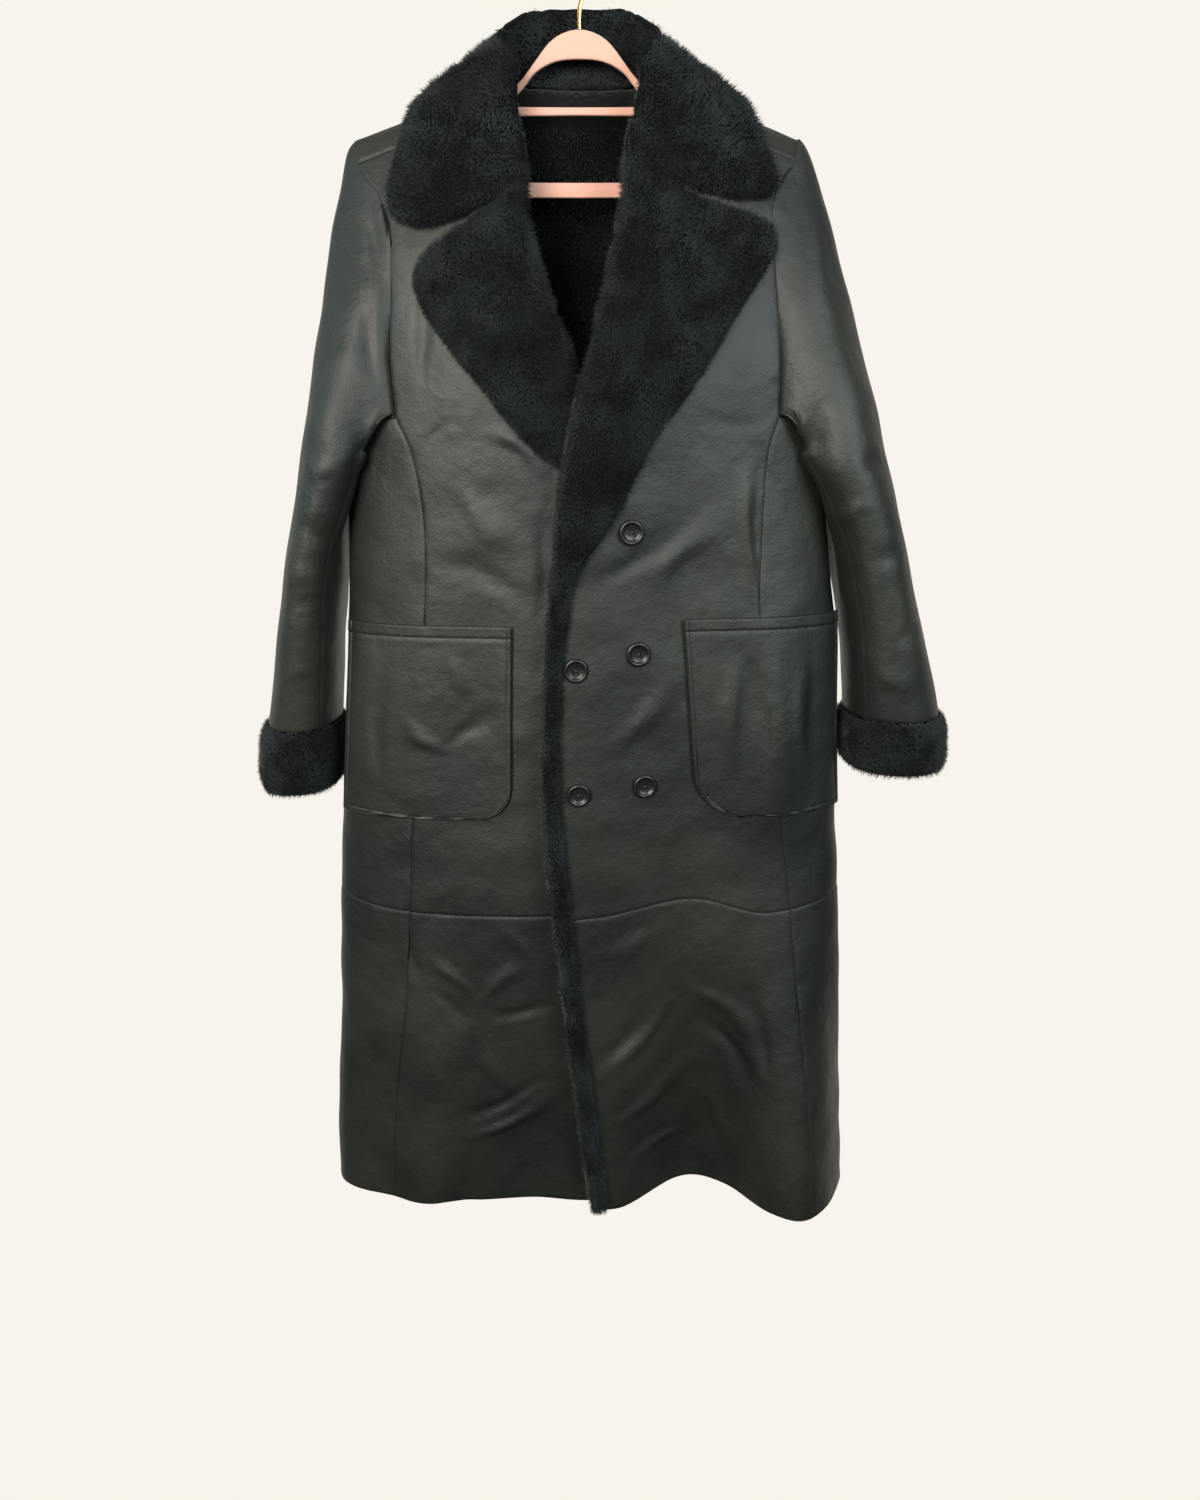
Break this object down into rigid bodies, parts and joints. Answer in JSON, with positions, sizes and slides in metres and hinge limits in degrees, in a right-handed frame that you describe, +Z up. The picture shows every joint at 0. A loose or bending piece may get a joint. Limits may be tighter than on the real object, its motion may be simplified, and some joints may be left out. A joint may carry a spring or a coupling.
{
  "type": "long fur-trimmed leather coat on a clothes hanger",
  "caption": "Long double-breasted leather coat with notched fur collar, fur front band, turned-back fur cuffs and patch pockets, hanging open-necked on a slim hanger with a wire hook.",
  "frame": {"origin": "inside of the top of the hanger's hook, where a rail carries it", "axes": "+Z up, -Y towards the coat's front, +X towards the wearer's left; the hanger lies in the plane Y = 0"},
  "size_m": [0.7485, 0.1941, 1.3113],
  "materials": {
    "leather": "smooth black leather with a soft sheen",
    "fur": "short dense black fur",
    "button": "polished black",
    "flocking": "blush velvet flocking",
    "hook_wire": "polished gold-coloured wire"
  },
  "bodies": {
    "root": {"front_right": "leather", "front_right_skirt": "leather", "front_left": "leather", "front_left_skirt": "leather", "side_right": "leather", "side_right_skirt": "leather", "side_left": "leather", "side_left_skirt": "leather", "back": "leather", "back_skirt": "leather", "sleeve_top_right": "leather", "sleeve_under_right": "leather", "sleeve_top_left": "leather", "sleeve_under_left": "leather", "pocket_right": "leather", "pocket_left": "leather", "cuff_right": "fur", "cuff_left": "fur", "collar": "fur", "lapel_right": "fur", "facing_left": "fur", "lining_back": "fur", "button_1": "button", "button_2": "button", "button_3": "button", "button_4": "button", "button_5": "button", "hanger_frame": "flocking", "hanger_hook": "hook_wire"}
  },
  "joints": []
}
